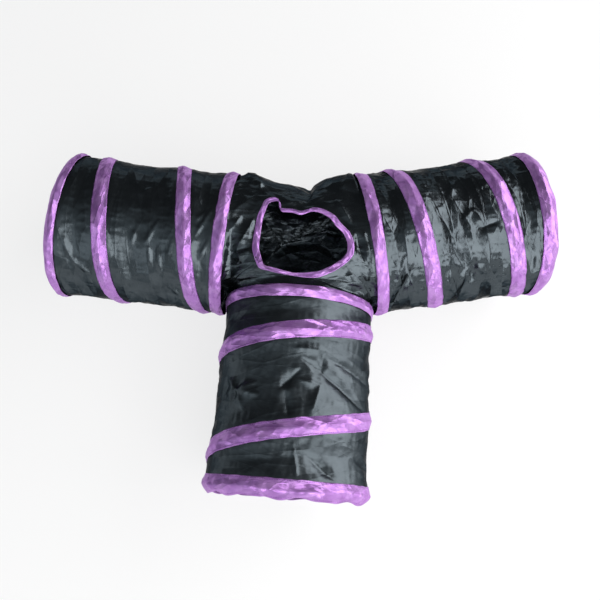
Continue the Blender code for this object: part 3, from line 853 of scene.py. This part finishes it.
def hoop_wander(arm, angle, seed):
    """How far the wire strays to one side in its tape. It is held at its sleeve on the underside."""
    held = np.clip(1 - np.cos(np.radians(angle)), 0.0, 1.0)
    return TAPE_WANDER * noise_round(angle, arm.seed + seed, seed, WANDER_SIZE) * held


def coil_wander(arm, angle):
    """The same for the coil, where one round of the noise serves for more than a turn."""
    return hoop_wander(arm, angle * 0.75, TAPE_SEEDS["coil"])


def tape_edges(arm, angle, seed):
    """How far the tape's edges stray."""
    return EDGE_WANDER * noise_round(angle, arm.seed + seed + 7, seed, EDGE_SIZE)


def edged(arm, across, angle, seed):
    """Places across a tape, with both its edges waved."""
    waved = tape_edges(arm, angle, seed)[:, None]
    return across + np.where(across > 0, 1, -1) * waved * np.abs(across) / HALF_TAPE


def tape_flat(across, angle):
    """Flat places of a tape or wire, in metres."""
    return np.stack(np.broadcast_arrays(across, np.radians(angle)[:, None] * WIRE_RADIUS), axis=-1)


def inner_tape(arm):
    angle = np.arange(0, TURN, TAPE_STEP)
    wander = hoop_wander(arm, angle, TAPE_SEEDS["inner"])[:, None]
    across = np.linspace(-INNER_TAPE_HUBWARD, HALF_TAPE, TAPE_COLUMNS)[None, :] * arm.inner_drawn
    across = edged(arm, across, angle, TAPE_SEEDS["inner"])
    coil = arm.coil_along(angle)[:, None]
    height = np.maximum(tent(across - wander), tent(across - coil))
    height = height + tape_crumple(across, angle[:, None], arm.seed + 31, TURN_LENGTH)
    grid = arm.at(across, CLOTH_RADIUS + np.maximum(height, GAP), angle[:, None])
    flat = tape_flat(across, angle)
    piece = grid_mesh(f"{arm.name}_inner_tape", grid, flat, closed_rows=True, closed_columns=False)
    thicken(piece, TAPE_THICKNESS, 1.0)
    finish_arm_piece(piece, SATIN, "hub", f"{arm.name}_inner_band")


def coil_tape(arm):
    near = HALF_TAPE + COIL_CLEARANCE
    far = arm.length - near
    angle = np.arange(COIL_LEAD_IN, COIL_TURNS * TURN - COIL_LEAD_IN + TAPE_STEP / 2, TAPE_STEP)
    coil = arm.coil_along(angle)[:, None]
    wander = coil_wander(arm, angle)[:, None]
    across = np.linspace(-HALF_TAPE, HALF_TAPE, TAPE_COLUMNS)[None, :] * arm.coil_drawn
    across = edged(arm, across, angle, TAPE_SEEDS["coil"])
    least = np.linspace(0, COIL_SQUEEZED, TAPE_COLUMNS)[None, :]
    along = np.clip(coil + across, near + least, far - least[:, ::-1])
    height = tent(along - coil - wander) + tape_crumple(across, angle[:, None], arm.seed + 41)
    grid = arm.at(along, CLOTH_RADIUS + np.maximum(height, GAP), angle[:, None])
    piece = grid_mesh(f"{arm.name}_coil_tape", grid, tape_flat(across, angle), closed_columns=False)
    thicken(piece, TAPE_THICKNESS, 1.0)
    finish_arm_piece(piece, SATIN, "hub", f"{arm.name}_coil_band")


def mouth_tape(arm):
    angle = np.arange(0, TURN, TAPE_STEP)
    wander = hoop_wander(arm, angle, TAPE_SEEDS["mouth"])[:, None]
    outer = np.linspace(HALF_TAPE * arm.mouth_drawn, -MOUTH_HEM, TAPE_COLUMNS)[None, :]
    waved = tape_edges(arm, angle, TAPE_SEEDS["mouth"])[:, None] * outer / HALF_TAPE
    inward = outer + np.where(outer > 0, waved, 0.0)
    late = (COIL_TURNS - 1) * TURN + np.where(angle == 0, TURN, angle)
    coil = (arm.length - arm.coil_along(late))[:, None]
    height = np.maximum(tent(inward + wander), tent(inward - coil))
    height = np.maximum(height + tape_crumple(inward, angle[:, None], arm.seed + 51, TURN_LENGTH), GAP)
    lip = -MOUTH_HEM - MOUTH_LIP
    fold = np.array((lip, lip, -MOUTH_HEM, -0.008, 0.0))[None, :]
    fold_height = np.array((GAP, -GAP, -MOUTH_UNDER, -MOUTH_UNDER, -MOUTH_UNDER))[None, :]
    shape = (len(angle), fold.shape[1])
    inward = np.concatenate((inward, np.broadcast_to(fold, shape)), axis=1)
    height = np.concatenate((height, np.broadcast_to(fold_height, shape)), axis=1)
    grid = arm.at(arm.length - inward, CLOTH_RADIUS + height, angle[:, None])
    grid[..., 2] = np.maximum(grid[..., 2], FLOOR_CLEARANCE)
    grid, flat = grid[:, ::-1], tape_flat(inward, angle)[:, ::-1]
    piece = grid_mesh(f"{arm.name}_mouth_tape", grid, flat, closed_rows=True, closed_columns=False)
    thicken(piece, TAPE_THICKNESS, 1.0)
    finish_arm_piece(piece, SATIN, f"{arm.name}_end", f"{arm.name}_mouth_binding")


# Wires and sleeves

def round_wire(arm, name, along, angle, closed):
    """A wire of round section through points at distances and angles."""
    turn = np.arange(WIRE_SIDES)[None, :] * 2 * math.pi / WIRE_SIDES
    radius = WIRE_RADIUS + WIRE_DIAMETER / 2 * np.cos(turn)
    place = np.asarray(along)[:, None] + WIRE_DIAMETER / 2 * np.sin(turn)
    grid = arm.at(place, radius, np.asarray(angle)[:, None])
    return grid_mesh(name, grid, tape_flat(turn * WIRE_DIAMETER / 2, angle), closed_rows=closed)


def wires(arm):
    """Both hoops and the coil, and the sleeves' material."""
    angle = np.arange(0, TURN, 2 * TAPE_STEP)
    for end, place, body in (("inner", 0.0, "hub"), ("mouth", arm.length, f"{arm.name}_end")):
        wander = hoop_wander(arm, angle, TAPE_SEEDS[end])
        ring = round_wire(arm, f"{arm.name}_{end}_ring", place + wander, angle, True)
        finish_arm_piece(ring, STEEL, body, f"{arm.name}_{end}_hoop")
        materials = frame["nodes"][f"{arm.name}_{end}_sleeve"].data.materials
        materials.clear()
        materials.append(PLATED)
    angle = np.arange(-COIL_OVERRUN, COIL_TURNS * TURN + COIL_OVERRUN + 1, 2 * TAPE_STEP)
    wander = coil_wander(arm, np.clip(angle, 0, COIL_TURNS * TURN))
    spring = round_wire(arm, f"{arm.name}_spring", arm.coil_along(angle) + wander, angle, False)
    finish_arm_piece(spring, STEEL, "hub", f"{arm.name}_coil_wire")


# Hub

def seam_points(first, second):
    """The seam at half height between two arms' hoops, after the first and before the second."""
    start = first.at(0.0, CLOTH_RADIUS, TURN / 4)
    end = second.at(0.0, CLOTH_RADIUS, TURN * 3 / 4)
    if "front" not in (first.name, second.name):
        middle = (start + end) / 2 * (1, 1, 0)
        inward = -middle / np.linalg.norm(middle)
        shares = np.linspace(0.04, 0.96, NOTCH_POINTS)
        dips = SEAM_NOTCH * (1 - np.abs(2 * shares - 1)) ** 1.5
        return [start + (end - start) * share + inward * dip for share, dip in zip(shares, dips)]
    front, angle = (first, TURN / 4) if first.name == "front" else (second, TURN * 3 / 4)
    tucked = front.at(-HALF_TAPE - FOLD_DEPTH, CLOTH_RADIUS, angle)
    folded = front.at(-HALF_TAPE - FOLD_CLEARANCE, CLOTH_RADIUS + FOLD_RISE, angle)
    return [tucked, folded] if first is front else [folded, tucked]


def unit(way):
    return way / np.linalg.norm(way, axis=-1, keepdims=True)


def hub_edge(arms):
    """The hub's edge round its upper half, anticlockwise from above.

    Returns points, ways in, leads, and seam allowances, then points and allowances of the lower half.
    """
    edge = []
    order = [arms["right"], arms["left"], arms["front"]]
    for place, arm in enumerate(order):
        following = order[(place + 1) % len(order)]
        before = seam_points(order[place - 1], arm)[-1]
        after = seam_points(arm, following)[0]
        for angle in np.arange(TURN * 3 / 4, TURN / 4 - 0.1, -HUB_STEP):
            point = arm.at(-GAP, CLOTH_RADIUS, angle)
            beside = after if angle < TURN / 2 else before
            height = TURN / 4 - abs(angle - TURN / 2)
            nearness = max(0.0, 1 - height / SEAM_TURN) ** 2
            way = unit(-arm.axis * (1 - nearness) + unit(beside - point) * nearness)
            steepness = math.cos(math.radians(height)) ** 2
            turned = math.radians(angle)
            rise = (arm.side * math.cos(turned) + UP * math.sin(turned)) * (1 if angle < TURN / 2 else -1)
            lead = unit(way * (1 - steepness) + rise * steepness)
            lower = (TURN / 2 - angle) % TURN
            below = CLOTH_RADIUS - 5 * CLOTH_THICKNESS
            tucks = [arm.at(SEAM_TUCK, below, place) for place in (angle, lower)]
            edge.append((point, way, lead, tucks[0], arm.at(-GAP, CLOTH_RADIUS, lower), tucks[1]))
        for point in seam_points(arm, following):
            low = point * MIRRORED + (0, 0, HOOP_DIAMETER)
            edge.append((point, UP, UP, point - UP * GAP, low, low + UP * GAP))
    return [np.array(column, float) for column in zip(*edge)]


def clear_of_tapes(points, arms):
    """Hub points moved off the hoops' tapes: under the tape where they are close, or else back from it."""
    for arm in arms.values():
        along, radius, _ = arm.read(points)
        edge = -(HALF_TAPE + FOLD_CLEARANCE)
        near = (along > edge) & (along < HALF_TAPE) & (radius > CLOTH_RADIUS)
        under = near & (radius < CLOTH_RADIUS + FOLD_CLEARANCE / 2)
        back = near & ~under
        spoke = (points - arm.middle - along[..., None] * arm.axis) / np.maximum(radius, 1e-9)[..., None]
        points = points - np.where(under, radius - CLOTH_RADIUS, 0.0)[..., None] * spoke
        points = points - np.where(back, along - edge, 0.0)[..., None] * arm.axis
    return points


def directions(points, centre):
    """The direction of each point from a middle in plan, without a jump."""
    return np.unwrap(np.arctan2(points[:, 1] - centre[1], points[:, 0] - centre[0]))


def bearings(points, centre):
    """The direction of each edge point, made to turn one way only where the edge folds."""
    seen = directions(points, centre)
    full = 2 * math.pi
    level = np.concatenate([seen + turn * full for turn in (-1, 0, 1)])
    highest = np.maximum.accumulate(level)
    lowest = np.minimum.accumulate(level[::-1])[::-1]
    level = (highest + lowest) / 2
    for _ in range(HUB_EASING):
        level[1:-1] = (level[:-2] + 2 * level[1:-1] + level[2:]) / 4
    return level[len(seen) : 2 * len(seen)]


def peephole_outline(bearing, centre):
    """Points of the peephole's outline at each bearing, on a smooth closed curve through its corners."""
    corners = np.array(PEEPHOLE_OUTLINE) / MM
    share = np.linspace(0, 1, 16, endpoint=False)[:, None, None]
    a, b, c, d = (np.roll(corners, -step, axis=0)[None] for step in (-1, 0, 1, 2))
    slope_in, slope_out = (c - a) * ROUNDING, (d - b) * ROUNDING
    bend = 3 * (c - b) - 2 * slope_in - slope_out
    twist = 2 * (b - c) + slope_in + slope_out
    curve = b + share * (slope_in + share * (bend + share * twist))
    curve = curve.transpose(1, 0, 2).reshape(-1, 2)
    seen = directions(curve, centre)
    full = 2 * math.pi
    lengths = np.concatenate(((0.0,), np.cumsum(np.linalg.norm(np.diff(curve, axis=0), axis=1))))
    whole = lengths[-1] + np.linalg.norm(curve[0] - curve[-1])
    seen = np.maximum.accumulate(seen) + lengths * PEEPHOLE_FOLLOW
    seen = seen[0] + (seen - seen[0]) * full / (full + PEEPHOLE_FOLLOW * whole)
    level = (np.asarray(bearing) - seen[0]) % full + seen[0]
    seen, curve = np.append(seen, seen[0] + full), np.concatenate((curve, curve[:1]))
    places = [np.interp(level, seen, column) for column in curve.T]
    return np.stack((*places, np.full_like(level, centre[2])), axis=-1)


def neighbours(grid):
    """The middle of the four points beside each inner point. Columns close round."""
    beside = np.roll(grid, 1, axis=1)[1:-1], np.roll(grid, -1, axis=1)[1:-1]
    return (grid[:-2] + grid[2:] + beside[0] + beside[1]) / 4


def hub_grid(edge, ends, outward, arms):
    """Rows of points from the edge inwards: straight under the tape, then a curve, then eased."""
    points, ways, leads = edge
    run = HALF_TAPE + FOLD_CLEARANCE / 2
    free = points + ways * run
    reach = np.linalg.norm(ends - free, axis=1, keepdims=True) * ROUNDING
    share = np.linspace(0, 1, HUB_ROWS)[:, None, None]
    left = 1 - share
    curve = left**3 * free + 3 * left**2 * share * (free + leads * reach)
    curve = curve + 3 * left * share**2 * (ends + outward * reach) + share**3 * ends
    under = [points + ways * run * step / 4 for step in range(4)]
    grid = np.concatenate((np.stack(under), curve))
    grid[4:-1] = clear_of_tapes(grid[4:-1], arms)
    for _ in range(HUB_EASING):
        grid[1:-1] = clear_of_tapes((grid[1:-1] + neighbours(grid)) / 2, arms)
    return grid


def tape_share(level):
    """How much of the peephole's tape shows at each bearing in radians."""
    return np.interp(np.degrees(level) % TURN, PEEPHOLE_BEARINGS, PEEPHOLE_SHOWN)


def hub_top(arms):
    points, ways, leads, tucks, _, _ = hub_edge(arms)
    centre = np.array((0.0, -PEEPHOLE_SETBACK, PEEPHOLE_HEIGHT))
    level = bearings(points, centre)
    outward = circle(level)
    ends = peephole_outline(level, centre)
    grid = hub_grid((points, ways, leads), ends, outward, arms)
    tape = outward * (PEEPHOLE_TAPE * tape_share(level))[:, None]
    inner = [grid[-1] - tape * share for share in (0.33, 0.66, 1.0)]
    grid = np.concatenate((grid, np.stack(inner)))
    rim = grid[-4:]
    hub_panel("hub_top_cloth", grid, tucks, "hub_top_panel", 4, False, np.array(HUB_FOLDS) / MM)
    over = UP * GAP
    under = -UP * (GAP + PEEPHOLE_UNDER)
    lip = rim[-1] - outward * PEEPHOLE_LIP
    puckers = facets(np.stack((level * FLOOR_PATCH, level * 0), axis=-1), 77, *PUCKERS)[:, None] * UP
    rows = [rim[0] + over, rim[1] + over * 2 + puckers, rim[2] + over * 3 - puckers, rim[3] + over, lip]
    rows += [rim[3] + under, rim[2] + under, rim[1] + under, rim[0] + under]
    ring = refined(np.stack(rows))
    across = np.linspace(-HALF_TAPE, PEEPHOLE_TAPE, len(ring))[:, None]
    lengths = np.arange(ring.shape[1])[None, :] / ring.shape[1] * PEEPHOLE_LENGTH
    piece = grid_mesh("peephole_tape", ring, np.stack(np.broadcast_arrays(across, lengths), axis=-1))
    thicken(piece, TAPE_THICKNESS, 0.0)
    finish_piece(piece, SATIN, "hub", "peephole_binding")


def laid_flat(grid, rim):
    """Flat places of a panel in metres: out from its rim row, along each column's own way in plan."""
    plan = grid[..., :2]
    ways = unit(plan[0] - plan[rim])
    rises = np.linalg.norm(np.diff(grid, axis=0), axis=-1)
    lengths = np.concatenate((np.zeros((1, grid.shape[1])), np.cumsum(rises, axis=0)))
    return plan[rim] + (lengths[rim] - lengths)[..., None] * ways


def hub_panel(name, grid, tucks, node, inner_rows, cap, lines=()):
    """A hub panel through a grid, held at its first and last rows, with its seam allowance outside them."""
    held = np.zeros(grid.shape[:2])
    held[:3] = 1
    held[-inner_rows:] = 1
    noise = Noise(500 + len(name))
    centre = grid.reshape(-1, 3).mean(axis=0)
    cut = centre + (grid - centre) * (HUB_CUT + HUB_CUT_VARIES * noise.at(grid, 0.05)[..., None])
    cut = cut + grid_normals(grid) * CUT_ROUGH * noise.at(grid, 0.018)[..., None]
    grid = settle(f"{name}_cut", grid, held, cut, HUB_MOVES)
    for _ in range(HUB_SMOOTHING):
        grid[1:-1] += (neighbours(grid) - grid[1:-1]) * 0.5 * (1 - held[1:-1, :, None])
    grid = refined(grid)
    flat = laid_flat(grid, -1 - 2 * (inner_rows - 1) if not cap else -1)
    from_edge = np.linalg.norm(flat - flat[:1], axis=-1)
    from_rim = np.linalg.norm(flat - flat[-1:], axis=-1)
    loose = np.clip(refined(1 - held[..., None])[..., 0], 0.0, 1.0)
    calm = np.exp(-np.sum((grid[..., :2] - SMOOTH_PLACE) ** 2, axis=-1) / SMOOTH_SIZE**2)
    slack = (1 - SMOOTHING * calm) if len(lines) else np.full_like(calm, SLACK_BELOW)
    edge = np.minimum(from_edge - INNER_TAPE_HUBWARD, from_rim - PEEPHOLE_TAPE)
    free = np.clip(edge / HUB_CREASE_RISE, 0.0, 1.0)
    crumpled = crumple(flat, 610 + len(name)) * CRUMPLED["hub"] * slack
    height = free * (crumpled + folds(grid[..., :2], lines))
    grid = grid + (height * loose)[..., None] * grid_normals(grid)
    grid[..., 2] = np.maximum(grid[..., 2], FLOOR_CLEARANCE)
    allowance = refined(tucks[None], rows=False)
    size = np.linalg.norm(allowance - grid[:1], axis=-1, keepdims=True)
    grid = np.concatenate((allowance, grid))
    flat = np.concatenate((flat[:1] + unit(flat[:1] - flat[1:2]) * size, flat))
    slack = np.concatenate((slack[:1], slack))
    piece = grid_mesh(name, grid, flat, cap=cap, slack=slack)
    finish_piece(piece, TAFFETA["hub"], "hub", node)
    size, area = HUB_FLAT[name]


def hub_bottom(arms):
    _, ways, leads, _, low, tucks = hub_edge(arms)
    level = bearings(low, np.zeros(3))
    outward = circle(level)
    ends = outward * FLOOR_PATCH + (0, 0, FLOOR_CLEARANCE)
    grid = hub_grid((low, ways * MIRRORED, leads * MIRRORED), ends, outward, arms)
    inner = [grid[-1] - outward * FLOOR_PATCH * share for share in (0.25, 0.5, 0.75, 0.95)]
    grid = np.concatenate((grid, np.stack(inner)))
    hub_panel("hub_bottom_cloth", grid, tucks, "hub_bottom_panel", 5, True)


# Camera, floor and lights

def camera():
    data = bpy.data.cameras.new("camera")
    data.sensor_width = SENSOR_WIDTH
    data.lens = SENSOR_WIDTH * FOCAL_PIXELS / PHOTO_PIXELS
    level = Vector((1.0, 0.0, 0.0))
    upward = Vector((0.0, math.sin(CAMERA_PITCH), math.cos(CAMERA_PITCH)))
    right = level * math.cos(CAMERA_ROLL) - upward * math.sin(CAMERA_ROLL)
    above = level * math.sin(CAMERA_ROLL) + upward * math.cos(CAMERA_ROLL)
    turned = Matrix((right, above, right.cross(above))).transposed().to_4x4()
    made = placed("camera", data)
    made.matrix_world = Matrix.Translation(CAMERA_PLACE) @ turned
    bpy.context.scene.camera = made


def softbox(name, azimuth, elevation, distance, size, radiance, colour):
    """A square soft light that faces the tunnel's middle."""
    data = bpy.data.lights.new(name, "AREA")
    data.shape = "SQUARE"
    data.size = size
    data.color = colour
    data.energy = radiance * math.pi * size**2
    made = placed(name, data)
    around, above = math.radians(azimuth), math.radians(elevation)
    level = math.cos(above)
    place = Vector((math.cos(around) * level, math.sin(around) * level, math.sin(above)))
    made.location = place * distance
    made.rotation_euler = place.to_track_quat("Z", "Y").to_euler()


def floor():
    corners = [(x * FLOOR_HALF, y * FLOOR_HALF, 0) for x, y in ((-1, -1), (1, -1), (1, 1), (-1, 1))]
    data = bpy.data.meshes.new("floor")
    data.from_pydata(corners, [], [(0, 1, 2, 3)])
    data.materials.append(FLOOR)
    placed("floor", data)


def surroundings():
    """A studio that is bright in front and dim behind, so that slack cloth shows its folds."""
    world = bpy.data.worlds.new("studio")
    world.use_nodes = True
    tree = world.node_tree
    way = add(tree, "ShaderNodeTexCoord").outputs["Generated"]
    forward = vector_node(tree, "DOT_PRODUCT", way, WALLS_FRONT, output=1)
    front = grey(tree, forward, 0.0, 1.0, WALLS_FROM, WALLS_TO, interpolation_type="SMOOTHSTEP")
    tree.links.new(ramp(tree, front, *WALLS), tree.nodes["Background"].inputs["Color"])
    bpy.context.scene.world = world


camera()
floor()
surroundings()
for title, light in LIGHTS.items():
    softbox(title, *light)
bpy.context.scene.view_settings.view_transform = "Standard"

ARMS = {name: Arm(name) for name in LEAN}
for each in ARMS.values():
    inner_tape(each)
    coil_tape(each)
    mouth_tape(each)
    tube_cloth(each)
    wires(each)
hub_top(ARMS)
hub_bottom(ARMS)
